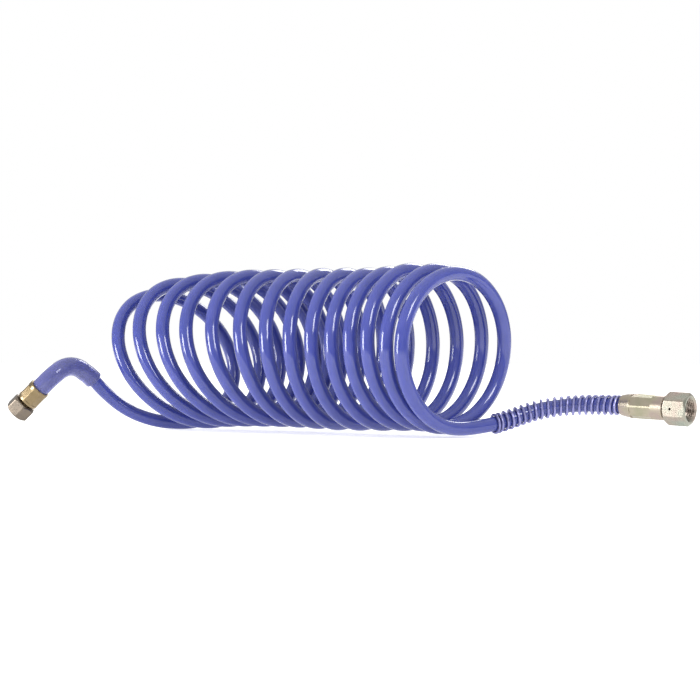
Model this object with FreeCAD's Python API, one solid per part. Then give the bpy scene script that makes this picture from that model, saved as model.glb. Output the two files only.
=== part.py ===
import FreeCAD, Part
import math
import os

from FreeCAD import Placement, Rotation, Vector

# Coiled air hose: a wound coil of tube that lies on its side along X, with a lead and a
# threaded union nut at each end. Lengths are in millimetres, angles in degrees, +Z is up
# and the hose lies on the plane z = 0.

os.makedirs("parts", exist_ok=True)

# Hose tube
TUBE_RADIUS = 5.0
TUBE_BORE_RADIUS = 3.25

# Coil: it starts and ends at the bottom of a turn, and its middle turns hang just clear of
# the surface. Rows: turns from the inlet end, where the bottom of the turn lies along X and
# its height, radius, lean back towards the inlet, and yaw of the far side towards +X.
COIL_AXIS_Y = 10.5
COIL_STATIONS = (
    (0, -158.5, 5.0, 48.5, 20.5, 22.0),
    (1, -133.5, 6.0, 54.5, 21.0, 19.0),
    (2, -113.0, 7.5, 55.0, 18.5, 16.5),
    (4, -77.0, 8.5, 54.5, 12.5, 11.5),
    (6, -43.0, 8.5, 53.5, 7.5, -2.5),
    (8, -7.0, 7.5, 53.5, 2.0, -5.5),
    (10, 34.0, 8.0, 53.0, 2.0, -0.5),
    (12, 70.0, 8.5, 54.0, 1.0, 5.0),
    (13, 85.0, 7.0, 53.5, -3.0, 9.0),
    (14, 97.5, 6.5, 53.0, -1.5, 8.0),
)
COIL_SECTIONS = (0.2, 1.0, 2.0, 4.0, 6.0, 8.0, 10.0, 12.0, 13.0, 13.5)

# Leads: corners of their routes, from the coil to the tube's end inside the fitting
INLET_ROUTE = (
    (-158.5, 10.5, 5.0),
    (-168.5, -10.0, 6.0),
    (-182.5, -27.0, 14.0),
    (-193.5, -40.5, 28.0),
    (-197.5, -55.0, 43.5),
    (-198.5, -74.0, 49.5),
    (-201.0, -91.0, 38.5),
    (-215.0, -96.0, 25.0),
)
OUTLET_ROUTE = (
    (97.5, 10.5, 6.5),
    (100.5, 26.0, 6.5),
    (108.0, 48.0, 9.5),
    (124.5, 71.0, 19.5),
    (157.2, 92.2, 23.0),
    (200.0, 95.1, 21.0),
)
ARC_SHARE = 0.45

# Bend sleeve on the inlet lead
SLEEVE_RADIUS = 7.0
SLEEVE_BORE_RADIUS = 5.2
SLEEVE_LENGTH = 57.0
SLEEVE_SOCKET = 3.0

# Spring guard on the outlet lead
GUARD_RADIUS = 7.2
GUARD_WIRE_RADIUS = 1.0
GUARD_START = 32.0
GUARD_GAP = 0.5

# Inlet fitting, measured along its axis from the hose side of the collar
INLET_COLLAR_LENGTH = 15.0
INLET_COLLAR_RADIUS = 8.2
INLET_TUBE_DEPTH = 11.0
INLET_NUT_START = 16.4
INLET_NUT_LENGTH = 11.0
INLET_NUT_FLATS = 17.0
INLET_THREAD_RADIUS = 5.9
INLET_NECK_RADIUS = 4.9
INLET_WIRE_RADIUS = 0.6
INLET_WIRE_OFFSET = 1.8
INLET_CONE_OFFSET = 2.0
INLET_CONE_LENGTH = 2.0
INLET_SEAL_RADIUS = 0.6

# Outlet fitting, measured along its axis from the hose side of the ferrule
OUTLET_FERRULE_LENGTH = 34.0
OUTLET_FERRULE_RADIUS = 8.6
OUTLET_FERRULE_TAIL_RADIUS = 7.3
OUTLET_FERRULE_TAPER = 8.0
OUTLET_FERRULE_CRIMP_END = 25.0
OUTLET_TUBE_DEPTH = 22.0
OUTLET_NUT_START = 35.0
OUTLET_NUT_LENGTH = 17.0
OUTLET_NUT_FLATS = 20.5
OUTLET_THREAD_RADIUS = 7.6
OUTLET_NECK_RADIUS = 6.6
OUTLET_WIRE_RADIUS = 0.75
OUTLET_WIRE_OFFSET = 6.0
OUTLET_CONE_OFFSET = 1.4
OUTLET_CONE_LENGTH = 2.2
OUTLET_SEAL_RADIUS = 0.8

# Both fittings
STEM_BORE_RADIUS = 1.9
STEM_GRIP_RADIUS = 3.6
BARB_ROOT_RADIUS = 2.8
BARB_COUNT = 5
RUNNING_CLEARANCE = 0.3
CRIMP_FLATS = 8
CRIMP_DEPTH = 0.45
NUT_CHAMFER = 1.6
MOUTH_CHAMFER = 1.0
WIRE_HOLE_RADIUS = 0.9
WIRE_RING_OPENING = 25.0
WIRE_RING_GAP = 0.15
THREAD_RELIEF = 0.4


def between_stations(turn):
    """A smooth blend of the coil stations on either side of a place, in turns."""
    last = len(COIL_STATIONS) - 1
    below = max(k for k in range(last) if COIL_STATIONS[k][0] <= turn)
    low = COIL_STATIONS[below]
    high = COIL_STATIONS[below + 1]
    before = COIL_STATIONS[max(below - 1, 0)]
    after = COIL_STATIONS[min(below + 2, last)]
    span = high[0] - low[0]
    t = (turn - low[0]) / span
    blend = []
    for column in range(1, len(low)):
        slope_in = (high[column] - before[column]) / (high[0] - before[0])
        slope_out = (after[column] - low[column]) / (after[0] - low[0])
        value = (1 + 2 * t) * (1 - t) ** 2 * low[column] + t * t * (3 - 2 * t) * high[column]
        value += span * t * (1 - t) * ((1 - t) * slope_in - t * slope_out)
        blend.append(value)
    return blend


def coil_body():
    """The closed outer shape of the wound turns."""
    rings = []
    for turn in COIL_SECTIONS:
        bottom_x, bottom_z, radius, lean, yaw = between_stations(turn)
        lean = math.radians(lean)
        yaw = math.radians(yaw)
        up = Vector(-math.sin(lean), 0, math.cos(lean))
        side = Vector(math.sin(yaw), math.cos(yaw), 0)
        centre = Vector(bottom_x, COIL_AXIS_Y, bottom_z) + up * radius
        circle = Part.makeCircle(radius + TUBE_RADIUS, centre, side.cross(up))
        rings.append(Part.Wire(circle))
    return Part.makeLoft(rings, True, False)


def route_edges(name, points):
    """Straight runs joined by tangent arcs, each as large as its two runs allow."""
    corners = [Vector(*point) for point in points]
    edges = []
    radii = []
    start = corners[0]
    for before, corner, after in zip(corners, corners[1:], corners[2:]):
        back = before - corner
        ahead = after - corner
        reach = ARC_SHARE * min(back.Length, ahead.Length)
        back.normalize()
        ahead.normalize()
        half_turn = (math.pi - back.getAngle(ahead)) / 2
        radius = reach / math.tan(half_turn)
        inward = (back + ahead).normalize()
        centre = corner + inward * (radius / math.cos(half_turn))
        arc_start = corner + back * reach
        arc_end = corner + ahead * reach
        edges.append(Part.LineSegment(start, arc_start).toShape())
        edges.append(Part.Arc(arc_start, centre - inward * radius, arc_end).toShape())
        radii.append(round(radius, 1))
        start = arc_end
    edges.append(Part.LineSegment(start, corners[-1]).toShape())
    print(name, "arc radii", radii)
    return edges


def route_length(edges):
    return sum(edge.Length for edge in edges)


def stretch(edges, start, stop):
    """The part of a route between two distances along it."""
    kept = []
    passed = 0.0
    for edge in edges:
        low = max(start - passed, 0.0)
        high = min(stop - passed, edge.Length)
        if high - low > 0.001:
            first = edge.getParameterByLength(low)
            last = edge.getParameterByLength(high)
            kept.append(edge.Curve.toShape(first, last))
        passed += edge.Length
    return kept


def hollow_tube(name, edges, outer_radius, bore_radius):
    """A round tube along a route, open at both ends."""
    spine = Part.Wire(edges)
    start = edges[0].valueAt(edges[0].FirstParameter)
    heading = edges[0].tangentAt(edges[0].FirstParameter)

    def swept(radius):
        section = Part.Wire(Part.makeCircle(radius, start, heading))
        return spine.makePipeShell([section], True, False)

    shape = swept(outer_radius).cut(swept(bore_radius))
    expected = math.pi * (outer_radius**2 - bore_radius**2) * route_length(edges)
    print(name, "length", round(route_length(edges), 1), "volume ratio", round(shape.Volume / expected, 4))
    return shape


def turned(profile):
    """A solid turned about X from (along, radius) corners."""
    corners = [Vector(along, radius, 0) for along, radius in profile]
    face = Part.Face(Part.makePolygon(corners + corners[:1]))
    return face.revolve(Vector(0, 0, 0), Vector(1, 0, 0), 360)


def ring(along, radius, wire_radius, opening=0.0):
    """A round wire ring about X, with an opening in degrees at its underside."""
    centre = Vector(along, radius, 0)
    section = Part.Face(Part.Wire(Part.makeCircle(wire_radius, centre, Vector(0, 0, 1))))
    shape = section.revolve(Vector(0, 0, 0), Vector(1, 0, 0), 360 - opening)
    shape.rotate(Vector(0, 0, 0), Vector(1, 0, 0), opening / 2 - 90)
    return shape


def crimped(shape, start, stop, radius):
    """A sleeve pressed by eight dies between two places along X."""
    flat_at = radius - CRIMP_DEPTH
    for index in range(CRIMP_FLATS):
        die = Part.makeBox(stop - start, 2 * radius, radius, Vector(start, -radius, flat_at))
        die.rotate(Vector(0, 0, 0), Vector(1, 0, 0), 360 / CRIMP_FLATS * (index + 0.5))
        shape = shape.cut(die)
    return shape


def barbed_stem(tail, tube_depth, grip_end, neck):
    """A hose stem: barbs inside the tube, a grip through the collar, then the neck and nose."""
    profile = [(tail, STEM_BORE_RADIUS), (tail, BARB_ROOT_RADIUS)]
    step = (tube_depth - tail) / BARB_COUNT
    for index in range(BARB_COUNT):
        end = tail + step * (index + 1)
        profile += [(end - step * 0.25, TUBE_BORE_RADIUS), (end - step * 0.2, BARB_ROOT_RADIUS)]
    profile += [(tube_depth, BARB_ROOT_RADIUS), (tube_depth, STEM_GRIP_RADIUS), (grip_end, STEM_GRIP_RADIUS)]
    profile += neck
    return turned(profile)


def union_nut(start, length, flats, thread_radius, neck_radius, nose_end, wire_at, wire_radius):
    """A hexagonal union nut with a vertex on top, bored for a thread, a cone seat and a swivel neck."""
    half_flats = flats / 2
    vertex = half_flats / math.cos(math.radians(30))
    corners = [
        Vector(start, vertex * math.sin(math.radians(60 * k)), vertex * math.cos(math.radians(60 * k)))
        for k in range(7)
    ]
    hexagon = Part.Face(Part.makePolygon(corners)).extrude(Vector(length, 0, 0))
    end = start + length
    blank = turned([
        (start, 0),
        (start, half_flats - 0.5),
        (start + NUT_CHAMFER, vertex + 0.1),
        (end - NUT_CHAMFER, vertex + 0.1),
        (end, half_flats - 0.5),
        (end, 0),
    ])
    neck_bore = neck_radius + RUNNING_CLEARANCE
    relief = thread_radius + THREAD_RELIEF
    bore = turned([
        (start - 1, 0),
        (start - 1, neck_bore),
        (wire_at + wire_radius + 1.3, neck_bore),
        (wire_at + wire_radius + 1.3, relief),
        (nose_end + 0.3, relief),
        (nose_end + 0.3, thread_radius),
        (end - MOUTH_CHAMFER, thread_radius),
        (end, thread_radius + MOUTH_CHAMFER),
        (end + 1, thread_radius + MOUTH_CHAMFER),
        (end + 1, 0),
    ])
    groove = ring(wire_at, neck_radius + WIRE_RING_GAP, wire_radius + RUNNING_CLEARANCE)
    wire_hole = Part.makeCylinder(WIRE_HOLE_RADIUS, flats, Vector(wire_at, 0, 0), Vector(0, -1, 0))
    return hexagon.common(blank).cut(bore).cut(groove).cut(wire_hole)


def placed(shape, origin, heading):
    """A fitting moved so that its own X lies along the heading, kept upright."""
    side = Vector(0, 0, 1).cross(heading).normalize()
    up = heading.cross(side)
    moved = shape.copy()
    moved.Placement = Placement(origin, Rotation(heading, side, up, "XZY"))
    return moved


def inlet_fitting():
    """The small brass fitting with its plated union nut, along its own X."""
    grip_end = INLET_COLLAR_LENGTH
    wire_at = INLET_NUT_START + INLET_WIRE_OFFSET
    cone_start = wire_at + INLET_CONE_OFFSET
    nose_end = cone_start + INLET_CONE_LENGTH
    wire_ring_radius = INLET_NECK_RADIUS + WIRE_RING_GAP
    seal_at = cone_start + INLET_CONE_LENGTH / 2
    seal_radius = INLET_NECK_RADIUS - 0.9
    collar = turned([
        (0, SLEEVE_RADIUS),
        (0, INLET_COLLAR_RADIUS - 0.5),
        (0.8, INLET_COLLAR_RADIUS),
        (INLET_COLLAR_LENGTH - 0.8, INLET_COLLAR_RADIUS),
        (INLET_COLLAR_LENGTH, INLET_COLLAR_RADIUS - 0.8),
        (INLET_COLLAR_LENGTH, STEM_GRIP_RADIUS),
        (INLET_TUBE_DEPTH, STEM_GRIP_RADIUS),
        (INLET_TUBE_DEPTH, TUBE_RADIUS),
        (SLEEVE_SOCKET, TUBE_RADIUS),
        (SLEEVE_SOCKET, SLEEVE_RADIUS),
    ])
    collar = crimped(collar, 3.5, INLET_COLLAR_LENGTH - 2.5, INLET_COLLAR_RADIUS)
    stem = barbed_stem(1.0, INLET_TUBE_DEPTH, grip_end, [
        (grip_end, INLET_NECK_RADIUS),
        (cone_start, INLET_NECK_RADIUS),
        (nose_end, INLET_NECK_RADIUS - 1.3),
        (nose_end, STEM_BORE_RADIUS),
    ])
    seal = ring(seal_at, seal_radius, INLET_SEAL_RADIUS)
    wire_groove = ring(wire_at, wire_ring_radius, INLET_WIRE_RADIUS)
    return {
        "inlet_collar": collar,
        "inlet_stem": stem.cut(wire_groove).cut(seal),
        "inlet_retaining_wire": ring(wire_at, wire_ring_radius, INLET_WIRE_RADIUS, WIRE_RING_OPENING),
        "inlet_o_ring": seal,
        "inlet_nut": union_nut(
            INLET_NUT_START, INLET_NUT_LENGTH, INLET_NUT_FLATS, INLET_THREAD_RADIUS,
            INLET_NECK_RADIUS, nose_end, wire_at, INLET_WIRE_RADIUS,
        ),
    }


def outlet_fitting():
    """The long crimped ferrule with the large union nut, along its own X."""
    grip_end = OUTLET_FERRULE_LENGTH + 0.2
    wire_at = OUTLET_NUT_START + OUTLET_WIRE_OFFSET
    cone_start = wire_at + OUTLET_CONE_OFFSET
    nose_end = cone_start + OUTLET_CONE_LENGTH
    wire_ring_radius = OUTLET_NECK_RADIUS + WIRE_RING_GAP
    seal_at = cone_start + OUTLET_CONE_LENGTH / 2
    seal_radius = OUTLET_NECK_RADIUS - 1.2
    ferrule = turned([
        (0, TUBE_RADIUS),
        (0, OUTLET_FERRULE_TAIL_RADIUS - 0.4),
        (0.6, OUTLET_FERRULE_TAIL_RADIUS),
        (OUTLET_FERRULE_TAPER, OUTLET_FERRULE_RADIUS),
        (OUTLET_FERRULE_LENGTH - 0.6, OUTLET_FERRULE_RADIUS),
        (OUTLET_FERRULE_LENGTH, OUTLET_FERRULE_RADIUS - 0.6),
        (OUTLET_FERRULE_LENGTH, STEM_GRIP_RADIUS),
        (OUTLET_TUBE_DEPTH, STEM_GRIP_RADIUS),
        (OUTLET_TUBE_DEPTH, TUBE_RADIUS),
    ])
    ferrule = crimped(ferrule, OUTLET_FERRULE_TAPER + 1.0, OUTLET_FERRULE_CRIMP_END, OUTLET_FERRULE_RADIUS)
    stem = barbed_stem(2.0, OUTLET_TUBE_DEPTH, grip_end, [
        (grip_end, OUTLET_NECK_RADIUS),
        (cone_start, OUTLET_NECK_RADIUS),
        (nose_end, OUTLET_NECK_RADIUS - 2.0),
        (nose_end, STEM_BORE_RADIUS),
    ])
    seal = ring(seal_at, seal_radius, OUTLET_SEAL_RADIUS)
    wire_groove = ring(wire_at, wire_ring_radius, OUTLET_WIRE_RADIUS)
    return {
        "outlet_ferrule": ferrule,
        "outlet_stem": stem.cut(wire_groove).cut(seal),
        "outlet_retaining_wire": ring(wire_at, wire_ring_radius, OUTLET_WIRE_RADIUS, WIRE_RING_OPENING),
        "outlet_o_ring": seal,
        "outlet_nut": union_nut(
            OUTLET_NUT_START, OUTLET_NUT_LENGTH, OUTLET_NUT_FLATS, OUTLET_THREAD_RADIUS,
            OUTLET_NECK_RADIUS, nose_end, wire_at, OUTLET_WIRE_RADIUS,
        ),
    }


def end_heading(points):
    return (Vector(*points[-1]) - Vector(*points[-2])).normalize()


def report_fitting(name, origin, heading, nut_start, nut_length):
    """Print where the nut's mouth lies and where it points."""
    mouth = origin + heading * (nut_start + nut_length)
    print(name, "mouth", [round(v, 3) for v in mouth], "heading", [round(v, 5) for v in heading])


inlet_edges = route_edges("inlet lead", INLET_ROUTE)
outlet_edges = route_edges("outlet lead", OUTLET_ROUTE)
inlet_length = route_length(inlet_edges)
outlet_length = route_length(outlet_edges)
inlet_heading = end_heading(INLET_ROUTE)
outlet_heading = end_heading(OUTLET_ROUTE)
inlet_origin = Vector(*INLET_ROUTE[-1]) - inlet_heading * INLET_TUBE_DEPTH
outlet_origin = Vector(*OUTLET_ROUTE[-1]) - outlet_heading * OUTLET_TUBE_DEPTH
sleeve_end = inlet_length - INLET_TUBE_DEPTH + SLEEVE_SOCKET
guard_end = outlet_length - OUTLET_TUBE_DEPTH - GUARD_GAP
sleeve_route = stretch(inlet_edges, sleeve_end - SLEEVE_LENGTH, sleeve_end)
guard_route = stretch(outlet_edges, GUARD_START, guard_end)
guard_bore = GUARD_RADIUS - 2 * GUARD_WIRE_RADIUS

shapes = {
    "hose_coil": coil_body(),
    "hose_lead_inlet": hollow_tube("inlet lead", inlet_edges, TUBE_RADIUS, TUBE_BORE_RADIUS),
    "hose_lead_outlet": hollow_tube("outlet lead", outlet_edges, TUBE_RADIUS, TUBE_BORE_RADIUS),
    "bend_sleeve": hollow_tube("bend sleeve", sleeve_route, SLEEVE_RADIUS, SLEEVE_BORE_RADIUS),
    "spring_guard": hollow_tube("spring guard", guard_route, GUARD_RADIUS, guard_bore),
}
for node, shape in inlet_fitting().items():
    shapes[node] = placed(shape, inlet_origin, inlet_heading)
for node, shape in outlet_fitting().items():
    shapes[node] = placed(shape, outlet_origin, outlet_heading)

report_fitting("inlet", inlet_origin, inlet_heading, INLET_NUT_START, INLET_NUT_LENGTH)
report_fitting("outlet", outlet_origin, outlet_heading, OUTLET_NUT_START, OUTLET_NUT_LENGTH)

for node, shape in shapes.items():
    shape.exportStep(f"parts/{node}.step")
    box = shape.BoundBox
    print(
        f"{node:22} solids {len(shape.Solids)} valid {shape.isValid()} volume {shape.Volume:9.1f} "
        f"x {box.XMin:7.1f} {box.XMax:7.1f} y {box.YMin:7.1f} {box.YMax:7.1f} z {box.ZMin:6.2f} {box.ZMax:6.2f}"
    )
whole = Part.makeCompound(list(shapes.values())).BoundBox
print("whole", whole)
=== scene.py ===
import math

import bpy
import numpy as np
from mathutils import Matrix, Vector


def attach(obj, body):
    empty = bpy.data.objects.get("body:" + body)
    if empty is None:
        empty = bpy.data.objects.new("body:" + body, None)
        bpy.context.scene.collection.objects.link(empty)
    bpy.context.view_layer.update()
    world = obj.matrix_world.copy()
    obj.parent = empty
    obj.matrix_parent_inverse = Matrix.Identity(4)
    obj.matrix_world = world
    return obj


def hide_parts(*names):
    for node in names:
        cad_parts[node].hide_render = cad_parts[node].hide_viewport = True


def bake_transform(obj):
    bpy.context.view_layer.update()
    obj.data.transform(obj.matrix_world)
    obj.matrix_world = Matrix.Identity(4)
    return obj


# Looks of the coiled air hose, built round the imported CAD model. Lengths are in metres.

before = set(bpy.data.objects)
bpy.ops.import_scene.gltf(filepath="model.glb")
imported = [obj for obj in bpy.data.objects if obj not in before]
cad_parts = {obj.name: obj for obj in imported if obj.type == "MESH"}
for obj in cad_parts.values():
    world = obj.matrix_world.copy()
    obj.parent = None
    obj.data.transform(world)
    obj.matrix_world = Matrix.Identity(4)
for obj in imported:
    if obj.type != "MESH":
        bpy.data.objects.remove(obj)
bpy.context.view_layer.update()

# ---------------------------------------------------------------- camera
CAMERA_TARGET = Vector((0.0025, 0.0105, 0.0603))
CAMERA_AZIMUTH = math.radians(38.55)
CAMERA_DISTANCE = 1.5025
CAMERA_LENS = 108.0
SENSOR_WIDTH = 36.0


def make_camera():
    back = Vector((math.sin(CAMERA_AZIMUTH), -math.cos(CAMERA_AZIMUTH), 0.0))
    data = bpy.data.cameras.new("camera")
    data.lens = CAMERA_LENS
    data.sensor_width = SENSOR_WIDTH
    data.clip_start = 0.01
    data.clip_end = 100.0
    camera = bpy.data.objects.new("camera", data)
    bpy.context.scene.collection.objects.link(camera)
    camera.location = CAMERA_TARGET + back * CAMERA_DISTANCE
    camera.rotation_euler = (-back).to_track_quat("-Z", "Y").to_euler()
    bpy.context.scene.camera = camera


make_camera()

# ---------------------------------------------------------------- hose route
TUBE_RADIUS = 0.005
TUBE_BORE_RADIUS = 0.00325

# Places along the coil, with a smooth blend between them: turns from the inlet end,
# bottom x, bottom z, radius (m), lean towards the inlet, turn about the vertical (degrees)
COIL_STATIONS = (
    (0, -0.1585, 0.0050, 0.0485, 20.5, 22.0),
    (1, -0.1335, 0.0060, 0.0545, 21.0, 19.0),
    (2, -0.1130, 0.0075, 0.0550, 18.5, 16.5),
    (4, -0.0770, 0.0085, 0.0545, 12.5, 11.5),
    (6, -0.0430, 0.0085, 0.0535, 7.5, -2.5),
    (8, -0.0070, 0.0075, 0.0535, 2.0, -5.5),
    (10, 0.0340, 0.0080, 0.0530, 2.0, -0.5),
    (12, 0.0700, 0.0085, 0.0540, 1.0, 5.0),
    (13, 0.0850, 0.0070, 0.0535, -3.0, 9.0),
    (14, 0.0975, 0.0065, 0.0530, -1.5, 8.0),
)
COIL_TURNS = 14
COIL_AXIS_Y = 0.0105
POINTS_PER_TURN = 24
# A quadratic spline runs this share of the way out to its control points on a circle
SPLINE_SHARE = 0.9915

INLET_ROUTE = (
    (-0.1685, -0.0100, 0.0060),
    (-0.1825, -0.0270, 0.0140),
    (-0.1935, -0.0405, 0.0280),
    (-0.1975, -0.0550, 0.0435),
    (-0.1985, -0.0740, 0.0495),
    (-0.2010, -0.0910, 0.0385),
    (-0.2150, -0.0960, 0.0250),
)
OUTLET_ROUTE = (
    (0.1005, 0.0260, 0.0065),
    (0.1080, 0.0480, 0.0095),
    (0.1245, 0.0710, 0.0195),
    (0.1572, 0.0922, 0.0230),
    (0.2000, 0.0951, 0.0210),
)
ROUTE_RESOLUTION = 6


def between_stations(turn):
    """A smooth blend of the coil stations on either side of a place, in turns."""
    last = len(COIL_STATIONS) - 1
    below = max(k for k in range(last) if COIL_STATIONS[k][0] <= turn)
    low = COIL_STATIONS[below]
    high = COIL_STATIONS[below + 1]
    before = COIL_STATIONS[max(below - 1, 0)]
    after = COIL_STATIONS[min(below + 2, last)]
    span = high[0] - low[0]
    t = (turn - low[0]) / span
    blend = []
    for column in range(1, len(low)):
        slope_in = (high[column] - before[column]) / (high[0] - before[0])
        slope_out = (after[column] - low[column]) / (after[0] - low[0])
        value = (1 + 2 * t) * (1 - t) ** 2 * low[column] + t * t * (3 - 2 * t) * high[column]
        value += span * t * (1 - t) * ((1 - t) * slope_in - t * slope_out)
        blend.append(value)
    return blend


def coil_point(turn):
    """A control point of the wound part, at a number of turns from the inlet end."""
    bottom_x, bottom_z, radius, lean, yaw = between_stations(turn)
    lean = math.radians(lean)
    yaw = math.radians(yaw)
    angle = 2 * math.pi * turn
    wide = radius / SPLINE_SHARE
    out = wide * math.sin(angle)
    rise = radius - wide * math.cos(angle)
    return Vector((
        bottom_x - rise * math.sin(lean) + out * math.sin(yaw),
        COIL_AXIS_Y + out * math.cos(yaw),
        bottom_z + rise * math.cos(lean),
    ))


def make_route():
    """The hose's centre line as one spline: inlet lead, coil, outlet lead."""
    coil = [coil_point(step / POINTS_PER_TURN) for step in range(COIL_TURNS * POINTS_PER_TURN + 1)]
    points = [Vector(p) for p in reversed(INLET_ROUTE)] + coil + [Vector(p) for p in OUTLET_ROUTE]
    data = bpy.data.curves.new("hose_route", "CURVE")
    data.dimensions = "3D"
    data.resolution_u = ROUTE_RESOLUTION
    spline = data.splines.new("NURBS")
    spline.points.add(len(points) - 1)
    for point, place in zip(spline.points, points):
        point.co = (*place, 1.0)
    spline.order_u = 3
    spline.use_endpoint_u = True
    route = bpy.data.objects.new("hose_route", data)
    bpy.context.scene.collection.objects.link(route)
    bpy.context.view_layer.update()
    mesh = bpy.data.meshes.new_from_object(route)
    line = np.array([v.co for v in mesh.vertices], float)
    bpy.data.meshes.remove(mesh)
    bpy.data.objects.remove(route)
    return line


route_line = make_route()


class Line:
    """A centre line with its distances and its twist-free side directions."""

    def __init__(self, points):
        self.points = points
        steps = np.diff(points, axis=0)
        self.at = np.concatenate([[0.0], np.cumsum(np.linalg.norm(steps, axis=1))])
        ahead = np.gradient(points, self.at, axis=0)
        self.ahead = ahead / np.linalg.norm(ahead, axis=1)[:, None]
        side = np.cross(self.ahead[0], (0.0, 0.0, 1.0))
        sides = []
        for direction in self.ahead:
            side = side - direction * (side @ direction)
            side = side / np.linalg.norm(side)
            sides.append(side)
        self.side = np.array(sides)
        self.up = np.cross(self.side, self.ahead)

    @property
    def length(self):
        return self.at[-1]

    def sample(self, at):
        """Points, headings, side and up directions at distances along the line."""
        parts = []
        for values in (self.points, self.ahead, self.side, self.up):
            parts.append(np.stack([np.interp(at, self.at, values[:, k]) for k in range(3)], axis=1))
        points = parts[0]
        units = [part / np.linalg.norm(part, axis=1)[:, None] for part in parts[1:]]
        return points, *units


hose_line = Line(route_line)

# ---------------------------------------------------------------- mesh helpers
SHARP_ANGLE = math.radians(32)


def make_object(name, vertices, faces, uvs=None):
    mesh = bpy.data.meshes.new(name)
    mesh.from_pydata([tuple(v) for v in vertices], [], faces)
    if uvs is not None:
        layer = mesh.uv_layers.new(name="route")
        layer.data.foreach_set("uv", np.array(uvs, np.float32).ravel())
    mesh.shade_smooth()
    mesh.set_sharp_from_angle(angle=SHARP_ANGLE)
    mesh.validate()
    made = bpy.data.objects.new(name, mesh)
    bpy.context.scene.collection.objects.link(made)
    return made


def ring_points(centres, sides, ups, radii, count):
    """Rings of points round a line: an array of (ring, point, xyz)."""
    angle = np.arange(count) * 2 * math.pi / count
    radii = np.broadcast_to(np.asarray(radii, float), (len(centres),))
    across = sides[:, None] * np.cos(angle)[None, :, None] + ups[:, None] * np.sin(angle)[None, :, None]
    return centres[:, None] + across * radii[:, None, None]


def wall_faces(first, rings, count, inward):
    """Quads that join rings of points, with their corners as (ring, side) steps for UVs."""
    faces = []
    steps = []
    for ring in range(rings - 1):
        for k in range(count):
            corners = [(ring, k), (ring, k + 1), (ring + 1, k + 1), (ring + 1, k)]
            if inward:
                corners.reverse()
            faces.append([first + r * count + s % count for r, s in corners])
            steps.extend(corners)
    return faces, steps


def hollow_tube(name, line, at, outer, inner, count, shift=None):
    """A tube with a bore along a line, closed by a flat ring at each end."""
    centres, _, sides, ups = line.sample(at)
    if shift is not None:
        centres = centres + shift
    outside = ring_points(centres, sides, ups, outer, count)
    inside = ring_points(centres, sides, ups, inner, count)
    rings = len(at)
    second = rings * count
    faces, steps = wall_faces(0, rings, count, True)
    inner_faces, inner_steps = wall_faces(second, rings, count, False)
    uvs = [(at[r], s / count) for r, s in steps + inner_steps]
    faces += inner_faces
    for ring, turned in ((0, False), (rings - 1, True)):
        for k in range(count):
            a = ring * count + k
            b = ring * count + (k + 1) % count
            face = [a, b, second + b, second + a]
            if turned:
                face.reverse()
            faces.append(face)
            uvs += [(at[ring], 0.0)] * 4
    vertices = np.concatenate([outside.reshape(-1, 3), inside.reshape(-1, 3)])
    return make_object(name, vertices, faces, uvs)


# ---------------------------------------------------------------- hose tube
TUBE_SIDES = 18


def make_hose():
    """The whole tube as one hollow mesh along the route, in place of the model's hose pieces."""
    tube = hollow_tube("hose_tube", hose_line, hose_line.at, TUBE_RADIUS, TUBE_BORE_RADIUS, TUBE_SIDES)
    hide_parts("hose_coil", "hose_lead_inlet", "hose_lead_outlet")
    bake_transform(tube)
    return tube


hose_tube = make_hose()

# ---------------------------------------------------------------- spring guard
OUTLET_TUBE_DEPTH = 0.022
GUARD_LENGTH = 0.0953
GUARD_GAP = 0.0005
GUARD_RADIUS = 0.0072
GUARD_WIRE_RADIUS = 0.0010
GUARD_TURNS = 21.0
GUARD_CLOSED_PITCH = 0.0023
GUARD_STEPS_PER_TURN = 24
GUARD_WIRE_SIDES = 10
GUARD_CLOSED_TURNS = 0.6
GUARD_START_ANGLE = math.radians(-90)


def guard_distances():
    """Turn numbers of the wire, and how far along each lies: closed at both ends, open between."""
    turns = np.linspace(0, GUARD_TURNS, int(GUARD_TURNS * GUARD_STEPS_PER_TURN) + 1)
    from_end = np.minimum(turns, GUARD_TURNS - turns)
    openness = np.clip(from_end - GUARD_CLOSED_TURNS, 0.0, 1.0)
    gained = np.concatenate([[0.0], np.cumsum((openness[1:] + openness[:-1]) / 2 * np.diff(turns))])
    closed = GUARD_CLOSED_PITCH * turns
    run = GUARD_LENGTH - 2 * GUARD_WIRE_RADIUS
    return turns, closed + gained * (run - closed[-1]) / gained[-1]


def make_guard():
    turns, along = guard_distances()
    start = hose_line.length - OUTLET_TUBE_DEPTH - GUARD_GAP - GUARD_LENGTH + GUARD_WIRE_RADIUS
    centres, _, sides, ups = hose_line.sample(start + along)
    angle = 2 * math.pi * turns + GUARD_START_ANGLE
    reach = GUARD_RADIUS - GUARD_WIRE_RADIUS
    wire = centres + reach * (sides * np.cos(angle)[:, None] + ups * np.sin(angle)[:, None])
    line = Line(wire)
    rings = ring_points(line.points, line.side, line.up, GUARD_WIRE_RADIUS, GUARD_WIRE_SIDES)
    count = GUARD_WIRE_SIDES
    faces, steps = wall_faces(0, len(wire), count, True)
    uvs = [(line.at[r], s / count) for r, s in steps]
    last = (len(wire) - 1) * count
    faces.append(list(range(count)))
    faces.append(list(range(last + count - 1, last - 1, -1)))
    uvs += [(0.0, 0.0)] * (2 * count)
    guard = make_object("spring_guard_wire", rings.reshape(-1, 3), faces, uvs)
    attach(guard, "outlet_end")
    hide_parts("spring_guard")
    return guard


spring_guard = make_guard()

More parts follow.
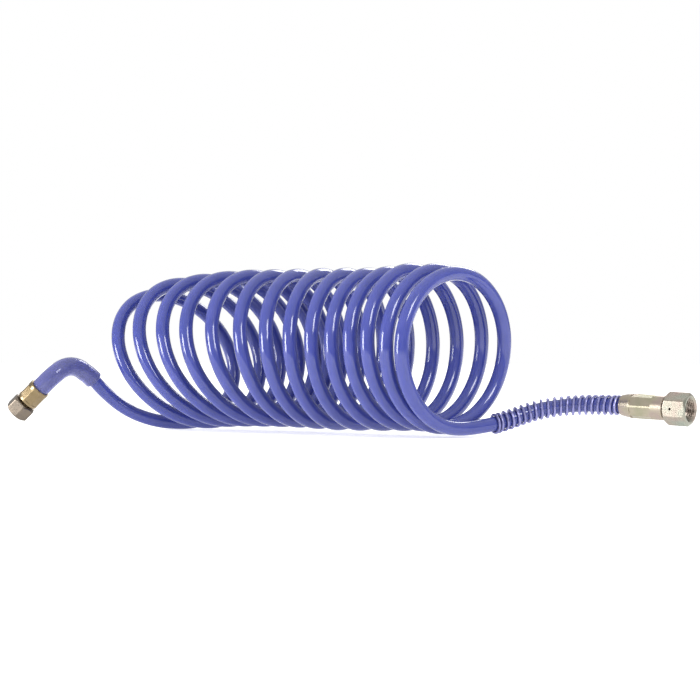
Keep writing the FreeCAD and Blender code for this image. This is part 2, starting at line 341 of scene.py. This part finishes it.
# ---------------------------------------------------------------- bend sleeve
INLET_TUBE_DEPTH = 0.011
SLEEVE_SOCKET = 0.003
SLEEVE_LENGTH = 0.057
SLEEVE_RADIUS = 0.0070
SLEEVE_TIGHT_BORE = 0.00525
SLEEVE_LOOSE_BORE = 0.0057
SLEEVE_TIGHT_LENGTH = 0.011
SLEEVE_RISE = 0.0004
SLEEVE_STEPS = 90
SLEEVE_SIDES = 40
SLEEVE_EDGE = 0.0004
SLEEVE_END_ROOM = 0.001
# The bore widens between the first two of these distances from the fitting end,
# and narrows again over the third before the tight coil end
SLEEVE_WIDENS_FROM = 0.004
SLEEVE_WIDENS_TO = 0.012
SLEEVE_NARROWS_OVER = 0.004


def eased(values, low, high):
    t = np.clip((values - low) / (high - low), 0.0, 1.0)
    return t * t * (3 - 2 * t)


def make_sleeve():
    """A translucent sleeve, tight on the tube at both ends, with room over the bend between."""
    start = INLET_TUBE_DEPTH - SLEEVE_SOCKET
    end = start + SLEEVE_LENGTH
    middle = np.linspace(start + SLEEVE_END_ROOM, end - SLEEVE_END_ROOM, SLEEVE_STEPS)
    at = np.concatenate([[start, start + SLEEVE_EDGE], middle, [end - SLEEVE_EDGE, end]])
    tight_end = end - SLEEVE_TIGHT_LENGTH
    widened = eased(at, start + SLEEVE_WIDENS_FROM, start + SLEEVE_WIDENS_TO)
    narrowed = eased(at, tight_end - SLEEVE_NARROWS_OVER, tight_end)
    loose = widened * (1 - narrowed)
    bore = SLEEVE_TIGHT_BORE + (SLEEVE_LOOSE_BORE - SLEEVE_TIGHT_BORE) * loose
    outer = np.full(len(at), SLEEVE_RADIUS)
    outer[[0, -1]] -= SLEEVE_EDGE
    lift = np.zeros((len(at), 3))
    lift[:, 2] = SLEEVE_RISE * loose
    sleeve = hollow_tube("clear_bend_sleeve", hose_line, at, outer, bore, SLEEVE_SIDES, lift)
    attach(sleeve, "inlet_end")
    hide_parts("bend_sleeve")
    return sleeve


clear_sleeve = make_sleeve()

# ---------------------------------------------------------------- union nuts
RUNNING_CLEARANCE = 0.0003
WIRE_RING_GAP = 0.00015
NUT_CHAMFER = 0.0016
MOUTH_CHAMFER = 0.0010
THREAD_RELIEF = 0.0004
THREAD_PITCH = 0.001337
THREAD_DEPTH = 0.0006
THREAD_ROWS_PER_PITCH = 8
# Shape of a thread's ridge: a flat crest, then a slope down to the root
THREAD_CREST = 1.25
THREAD_SLOPE = 3.0
NUT_SIDES = 144
CORNER_SHARE = 0.985
WIRE_HOLE_RADIUS = 0.0009
WIRE_HOLE_SIDES = 20
WIRE_HOLE_OVERSHOOT = 0.002
# The end chamfers start this far inside the flats and finish just past the corners
CHAMFER_INSET = 0.0005
CHAMFER_PAST_CORNER = 0.0001
CHAMFER_STEPS = 8
RELIEF_PAST_WIRE = 0.0013
GROOVE_STEPS = 8

INLET_NUT = {
    "start": 0.0164, "length": 0.0110, "flats": 0.0170, "thread": 0.0059, "neck": 0.0049,
    "wire": 0.0006, "wire_offset": 0.0018, "cone_offset": 0.0020, "cone_length": 0.0020,
}
OUTLET_NUT = {
    "start": 0.0350, "length": 0.0170, "flats": 0.0205, "thread": 0.0076, "neck": 0.0066,
    "wire": 0.00075, "wire_offset": 0.0060, "cone_offset": 0.0014, "cone_length": 0.0022,
}


def nut_rows(nut):
    """The nut's section as (along, radius, kind) rows: up the outside, then back down the bore."""
    half = nut["flats"] / 2
    vertex = half / math.cos(math.pi / 6)
    start = nut["start"]
    end = start + nut["length"]
    wire_at = start + nut["wire_offset"]
    nose = wire_at + nut["cone_offset"] + nut["cone_length"] + RUNNING_CLEARANCE
    neck = nut["neck"] + RUNNING_CLEARANCE
    low = half - CHAMFER_INSET
    rise = vertex + CHAMFER_PAST_CORNER - low
    shares = [k / CHAMFER_STEPS for k in range(CHAMFER_STEPS + 1)]
    rows = [(start + NUT_CHAMFER * share, low + rise * share, "hex") for share in shares]
    rows += [(end - NUT_CHAMFER * share, low + rise * share, "hex") for share in reversed(shares)]
    rows.append((end, nut["thread"] + MOUTH_CHAMFER, "round"))
    mouth = end - MOUTH_CHAMFER
    count = int((mouth - nose) / THREAD_PITCH * THREAD_ROWS_PER_PITCH)
    for k in range(count + 1):
        rows.append((mouth + (nose - mouth) * k / count, nut["thread"], "thread"))
    relief = nut["thread"] + THREAD_RELIEF
    relief_end = wire_at + nut["wire"] + RELIEF_PAST_WIRE
    rows += [(nose, relief, "round"), (relief_end, relief, "round"), (relief_end, neck, "round")]
    groove = nut["wire"] + RUNNING_CLEARANCE
    ring = nut["neck"] + WIRE_RING_GAP
    widest = math.acos((neck - ring) / groove)
    for k in range(GROOVE_STEPS + 1):
        turn = widest * (1 - 2 * k / GROOVE_STEPS)
        rows.append((wire_at + groove * math.sin(turn), ring + groove * math.cos(turn), "round"))
    rows.append((start, neck, "round"))
    return rows, (nose, mouth)


def nut_radii(row, threaded, angle, half):
    along, radius, kind = row
    if kind == "hex":
        flat = half / np.cos(np.mod(angle, math.pi / 3) - math.pi / 6)
        corner = half / math.cos(math.pi / 6) * CORNER_SHARE
        return np.minimum(np.minimum(flat, corner), radius)
    if kind == "thread":
        phase = np.mod(along / THREAD_PITCH - angle / (2 * math.pi), 1.0)
        wave = np.clip(THREAD_CREST - np.abs(phase - 0.5) * THREAD_SLOPE, 0.0, 1.0)
        edge = min(along - threaded[0], threaded[1] - along) / (THREAD_PITCH / 2)
        return radius + THREAD_DEPTH * wave * min(max(edge, 0.0), 1.0)
    return np.full(len(angle), radius)


def make_nut(name, node, body, nut, origin, heading):
    """A hexagonal union nut with a threaded mouth, and the hole its retaining wire is fed through."""
    rows, threaded = nut_rows(nut)
    side = Vector((0, 0, 1)).cross(heading).normalized()
    up = heading.cross(side)
    angle = np.arange(NUT_SIDES) * 2 * math.pi / NUT_SIDES
    radial = np.cos(angle)[:, None] * np.array(up) + np.sin(angle)[:, None] * np.array(side)
    vertices = []
    for row in rows:
        radii = nut_radii(row, threaded, angle, nut["flats"] / 2)
        vertices.append(np.array(origin) + np.array(heading) * row[0] + radial * radii[:, None])
    count = NUT_SIDES
    faces = []
    for row in range(len(rows)):
        after = (row + 1) % len(rows)
        for k in range(count):
            near = (k + 1) % count
            faces.append([row * count + k, after * count + k, after * count + near, row * count + near])
    made = make_object(name, np.concatenate(vertices), faces)
    drill_wire_hole(made, nut, origin, heading, side)
    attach(made, body)
    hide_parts(node)
    return made


def drill_wire_hole(nut_object, nut, origin, heading, side):
    """Cuts the wire hole through one flat, down to the bore."""
    depth = nut["flats"] / 2
    centre = origin + heading * (nut["start"] + nut["wire_offset"]) - side * depth
    axis = np.array([centre + side * depth / 2, centre - side * WIRE_HOLE_OVERSHOOT], float)
    drill_line = Line(axis)
    count = WIRE_HOLE_SIDES
    rings = ring_points(drill_line.points, drill_line.side, drill_line.up, WIRE_HOLE_RADIUS, count)
    faces, _ = wall_faces(0, 2, count, True)
    faces.append(list(range(count)))
    faces.append(list(range(2 * count - 1, count - 1, -1)))
    drill = make_object("wire_hole_drill", rings.reshape(-1, 3), faces)
    cut = nut_object.modifiers.new("wire_hole", "BOOLEAN")
    cut.object = drill
    cut.operation = "DIFFERENCE"
    cut.solver = "EXACT"
    bpy.context.view_layer.update()
    graph = bpy.context.evaluated_depsgraph_get()
    mesh = bpy.data.meshes.new_from_object(nut_object.evaluated_get(graph))
    nut_object.modifiers.clear()
    nut_object.data = mesh
    mesh.set_sharp_from_angle(angle=SHARP_ANGLE)
    bpy.data.objects.remove(drill)


def fitting_place(route, depth):
    """Where a fitting starts on its lead, and which way it points."""
    heading = (Vector(route[-1]) - Vector(route[-2])).normalized()
    return Vector(route[-1]) - heading * depth, heading


inlet_origin, inlet_heading = fitting_place(INLET_ROUTE, INLET_TUBE_DEPTH)
outlet_origin, outlet_heading = fitting_place(OUTLET_ROUTE, OUTLET_TUBE_DEPTH)
inlet_nut = make_nut("inlet_union_nut", "inlet_nut", "inlet_swivel", INLET_NUT, inlet_origin, inlet_heading)
outlet_nut = make_nut(
    "outlet_union_nut", "outlet_nut", "outlet_swivel", OUTLET_NUT, outlet_origin, outlet_heading
)

# ---------------------------------------------------------------- materials
BLOTCH_SCALE = 70.0
TURNING_MARK_PITCH = 0.00035
# The tones that each material drifts between
HOSE_TONES = ((0.041, 0.055, 0.262), (0.055, 0.068, 0.300))
SLEEVE_TONES = ((0.16, 0.17, 0.45), (0.21, 0.22, 0.52))
RUBBER_TONES = ((0.012, 0.012, 0.013), (0.025, 0.025, 0.026))
FLOOR_TONES = ((0.93, 0.93, 0.93), (0.95, 0.95, 0.95))
YELLOW_ZINC = ((0.30, 0.29, 0.20), (0.37, 0.33, 0.25), (0.36, 0.29, 0.26))
BRIGHT_ZINC = ((0.27, 0.30, 0.25), (0.32, 0.29, 0.24), (0.34, 0.26, 0.23))
NICKEL = ((0.14, 0.12, 0.10), (0.18, 0.15, 0.12), (0.20, 0.16, 0.12))
BRASS = ((0.20, 0.15, 0.08), (0.25, 0.19, 0.11), (0.29, 0.23, 0.15))
STEEL = ((0.48, 0.49, 0.58), (0.60, 0.61, 0.70))
GUARD_STEEL = ((0.22, 0.22, 0.42), (0.30, 0.30, 0.54))


def new_material(name):
    material = bpy.data.materials.new(name)
    material.use_nodes = True
    nodes = material.node_tree.nodes
    nodes.clear()
    output = nodes.new("ShaderNodeOutputMaterial")
    shader = nodes.new("ShaderNodeBsdfPrincipled")
    material.node_tree.links.new(shader.outputs["BSDF"], output.inputs["Surface"])
    return material, shader


class Nodes:
    """Short names for the nodes that the materials share."""

    def __init__(self, material, shader):
        self.tree = material.node_tree
        self.shader = shader

    def new(self, kind, **values):
        node = self.tree.nodes.new(kind)
        for key, value in values.items():
            setattr(node, key, value)
        return node

    def link(self, output, socket):
        self.tree.links.new(output, socket)

    def uv(self, scale):
        """The route's own coordinates: distance along, then share of the way round."""
        return self.scaled(self.new("ShaderNodeUVMap", uv_map="route").outputs["UV"], scale)

    def place(self, scale):
        return self.scaled(self.new("ShaderNodeTexCoord").outputs["Object"], scale)

    def scaled(self, vector, scale):
        mapping = self.new("ShaderNodeMapping")
        mapping.inputs["Scale"].default_value = scale
        self.link(vector, mapping.inputs["Vector"])
        return mapping.outputs["Vector"]

    def noise(self, vector, scale, detail=3.0, rough=0.5):
        noise = self.new("ShaderNodeTexNoise")
        noise.inputs["Scale"].default_value = scale
        noise.inputs["Detail"].default_value = detail
        noise.inputs["Roughness"].default_value = rough
        self.link(vector, noise.inputs["Vector"])
        return noise.outputs["Fac"]

    def ramp(self, value, stops):
        ramp = self.new("ShaderNodeValToRGB")
        elements = ramp.color_ramp.elements
        while len(elements) < len(stops):
            elements.new(0.5)
        for element, (position, colour) in zip(elements, stops):
            element.position = position
            element.color = (*colour, 1.0)
        self.link(value, ramp.inputs["Fac"])
        return ramp.outputs["Color"]

    def span(self, value, low, high, source=(0.3, 0.7)):
        ranged = self.new("ShaderNodeMapRange")
        ranged.inputs["From Min"].default_value = source[0]
        ranged.inputs["From Max"].default_value = source[1]
        ranged.inputs["To Min"].default_value = low
        ranged.inputs["To Max"].default_value = high
        self.link(value, ranged.inputs["Value"])
        return ranged.outputs["Result"]

    def bump(self, height, strength, distance, below=None):
        bump = self.new("ShaderNodeBump")
        bump.inputs["Strength"].default_value = strength
        bump.inputs["Distance"].default_value = distance
        self.link(height, bump.inputs["Height"])
        if below is not None:
            self.link(below, bump.inputs["Normal"])
        return bump.outputs["Normal"]

    def along(self, heading):
        """Distance along a fitting's own axis."""
        dot = self.new("ShaderNodeVectorMath", operation="DOT_PRODUCT")
        dot.inputs[1].default_value = tuple(heading)
        self.link(self.new("ShaderNodeTexCoord").outputs["Object"], dot.inputs[0])
        return dot.outputs["Value"]

    def turning_marks(self, heading, pitch):
        """Fine rings round the axis, as a lathe tool leaves."""
        noise = self.new("ShaderNodeTexNoise", noise_dimensions="1D")
        noise.inputs["Scale"].default_value = 1 / pitch
        noise.inputs["Detail"].default_value = 2.0
        self.link(self.along(heading), noise.inputs["W"])
        return noise.outputs["Fac"]


def spread(tones, low=0.3, high=0.7):
    """Colour ramp stops: the tones in even steps from low to high."""
    return [(low + (high - low) * k / (len(tones) - 1), tone) for k, tone in enumerate(tones)]


def hose_material():
    material, shader = new_material("hose_blue")
    n = Nodes(material, shader)
    cloud = n.noise(n.uv((60.0, 3.0, 1.0)), 1.0)
    n.link(n.ramp(cloud, spread(HOSE_TONES, 0.32, 0.68)), shader.inputs["Base Color"])
    lines = n.noise(n.uv((25.0, 40.0, 1.0)), 1.0, 4.0)
    scuffs = n.noise(n.uv((900.0, 30.0, 1.0)), 1.0, 5.0, 0.6)
    n.link(n.span(scuffs, 0.07, 0.12), shader.inputs["Roughness"])
    fine = n.bump(scuffs, 0.02, 0.0002)
    n.link(n.bump(lines, 0.05, 0.0002, fine), shader.inputs["Normal"])
    shader.inputs["Subsurface Weight"].default_value = 0.25
    shader.inputs["Subsurface Radius"].default_value = (0.3, 0.35, 1.0)
    shader.inputs["Subsurface Scale"].default_value = 0.003
    shader.inputs["IOR"].default_value = 1.5
    shader.inputs["Coat Weight"].default_value = 0.25
    shader.inputs["Coat Roughness"].default_value = 0.06
    return material


def sleeve_material():
    material, shader = new_material("clear_pvc")
    n = Nodes(material, shader)
    cloud = n.noise(n.uv((120.0, 4.0, 1.0)), 1.0)
    n.link(n.ramp(cloud, spread(SLEEVE_TONES)), shader.inputs["Base Color"])
    n.link(n.span(cloud, 0.08, 0.12), shader.inputs["Roughness"])
    ripples = n.noise(n.uv((200.0, 8.0, 1.0)), 1.0, 2.0)
    n.link(n.bump(ripples, 0.02, 0.0002), shader.inputs["Normal"])
    shader.inputs["Transmission Weight"].default_value = 0.55
    shader.inputs["IOR"].default_value = 1.42
    return material


def metal_material(name, tones, rough, heading):
    """Plated metal: blotches of tone, fine turning marks and small handling scratches."""
    material, shader = new_material(name)
    n = Nodes(material, shader)
    cloud = n.noise(n.place((1.0, 1.0, 1.0)), BLOTCH_SCALE, 3.0, 0.55)
    n.link(n.ramp(cloud, spread(tones)), shader.inputs["Base Color"])
    scratches = n.noise(n.place((1.0, 4.0, 2.0)), 900.0, 4.0, 0.6)
    n.link(n.span(scratches, *rough), shader.inputs["Roughness"])
    rings = n.turning_marks(heading, TURNING_MARK_PITCH)
    fine = n.bump(scratches, 0.08, 0.0001)
    n.link(n.bump(rings, 0.12, 0.0001, fine), shader.inputs["Normal"])
    shader.inputs["Metallic"].default_value = 1.0
    return material


def rubber_material():
    material, shader = new_material("seal_rubber")
    n = Nodes(material, shader)
    grain = n.noise(n.place((1.0, 1.0, 1.0)), 2500.0, 3.0)
    n.link(n.ramp(grain, spread(RUBBER_TONES)), shader.inputs["Base Color"])
    n.link(n.span(grain, 0.5, 0.65), shader.inputs["Roughness"])
    n.link(n.bump(grain, 0.1, 0.0001), shader.inputs["Normal"])
    return material


def wear(piece, material):
    piece.data.materials.clear()
    piece.data.materials.append(material)


wear(hose_tube, hose_material())
wear(clear_sleeve, sleeve_material())
spring_steel = metal_material("spring_steel", GUARD_STEEL, (0.34, 0.46), outlet_heading)
wear(spring_guard, spring_steel)
wear(outlet_nut, metal_material("bright_zinc", BRIGHT_ZINC, (0.22, 0.36), outlet_heading))
wear(inlet_nut, metal_material("nickel_plate", NICKEL, (0.25, 0.40), inlet_heading))
yellow_zinc = metal_material("yellow_zinc", YELLOW_ZINC, (0.28, 0.42), outlet_heading)
brass = metal_material("brass", BRASS, (0.22, 0.36), inlet_heading)
retaining_steel = metal_material("retaining_steel", STEEL, (0.20, 0.30), outlet_heading)
seal_rubber = rubber_material()
NODE_MATERIALS = {
    "inlet_collar": brass,
    "inlet_stem": brass,
    "inlet_retaining_wire": retaining_steel,
    "inlet_o_ring": seal_rubber,
    "outlet_ferrule": yellow_zinc,
    "outlet_stem": yellow_zinc,
    "outlet_retaining_wire": retaining_steel,
    "outlet_o_ring": seal_rubber,
}
for node, material in NODE_MATERIALS.items():
    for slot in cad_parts[node].material_slots:
        slot.material = material

# ---------------------------------------------------------------- floor, lights and background
FLOOR_HALF_SIZE = 6.0
FLOOR_GLOW = 0.50
FLOOR_DROP = 0.0002


def make_floor():
    half = FLOOR_HALF_SIZE
    corners = [(-half, -half), (half, -half), (half, half), (-half, half)]
    mesh = bpy.data.meshes.new("floor")
    mesh.from_pydata([(x, y, -FLOOR_DROP) for x, y in corners], [], [(0, 1, 2, 3)])
    floor = bpy.data.objects.new("floor", mesh)
    bpy.context.scene.collection.objects.link(floor)
    material, shader = new_material("pale_floor")
    n = Nodes(material, shader)
    grain = n.noise(n.place((1.0, 1.0, 1.0)), 40.0)
    n.link(n.ramp(grain, spread(FLOOR_TONES)), shader.inputs["Base Color"])
    shader.inputs["Roughness"].default_value = 0.9
    shader.inputs["Specular IOR Level"].default_value = 0.0
    shader.inputs["Emission Color"].default_value = (1.0, 1.0, 1.0, 1.0)
    shader.inputs["Emission Strength"].default_value = FLOOR_GLOW
    wear(floor, material)


def make_light(name, place, target, size, power):
    data = bpy.data.lights.new(name, "AREA")
    data.shape = "RECTANGLE"
    data.size, data.size_y = size
    data.energy = power
    light = bpy.data.objects.new(name, data)
    bpy.context.scene.collection.objects.link(light)
    light.location = place
    aim = Vector(target) - Vector(place)
    light.rotation_euler = aim.to_track_quat("-Z", "Y").to_euler()
    light.visible_camera = False


WORLD_STOPS = ((0.0, 0.6), (0.47, 0.42), (0.52, 0.38), (0.60, 0.60), (1.0, 1.15))


def make_world():
    """A white background, with a soft room of graded brightness for light and reflections."""
    world = bpy.data.worlds.new("studio")
    bpy.context.scene.world = world
    world.use_nodes = True
    nodes = world.node_tree.nodes
    links = world.node_tree.links
    nodes.clear()
    coordinates = nodes.new("ShaderNodeTexCoord")
    split = nodes.new("ShaderNodeSeparateXYZ")
    links.new(coordinates.outputs["Generated"], split.inputs["Vector"])
    height = nodes.new("ShaderNodeMapRange")
    height.inputs["From Min"].default_value = -1.0
    height.inputs["From Max"].default_value = 1.0
    links.new(split.outputs["Z"], height.inputs["Value"])
    ramp = nodes.new("ShaderNodeValToRGB")
    elements = ramp.color_ramp.elements
    while len(elements) < len(WORLD_STOPS):
        elements.new(0.5)
    for element, (position, level) in zip(elements, WORLD_STOPS):
        element.position = position
        element.color = (level, level, level, 1.0)
    links.new(height.outputs["Result"], ramp.inputs["Fac"])
    room = nodes.new("ShaderNodeBackground")
    links.new(ramp.outputs["Color"], room.inputs["Color"])
    white = nodes.new("ShaderNodeBackground")
    white.inputs["Color"].default_value = (1.0, 1.0, 1.0, 1.0)
    seen = nodes.new("ShaderNodeLightPath")
    mix = nodes.new("ShaderNodeMixShader")
    links.new(seen.outputs["Is Camera Ray"], mix.inputs["Fac"])
    links.new(room.outputs["Background"], mix.inputs[1])
    links.new(white.outputs["Background"], mix.inputs[2])
    output = nodes.new("ShaderNodeOutputWorld")
    links.new(mix.outputs["Shader"], output.inputs["Surface"])


make_floor()
make_world()
make_light("left_softbox", (-0.78, -1.28, 0.20), (0.0, 0.0, 0.06), (0.60, 0.70), 20.0)
make_light("high_softbox", (1.10, -0.43, 0.80), (0.0, 0.0, 0.06), (0.45, 0.45), 7.5)
make_light("back_softbox", (-0.30, 1.20, 0.90), (0.0, 0.0, 0.05), (0.60, 0.40), 5.0)
bpy.context.scene.view_settings.view_transform = "Standard"
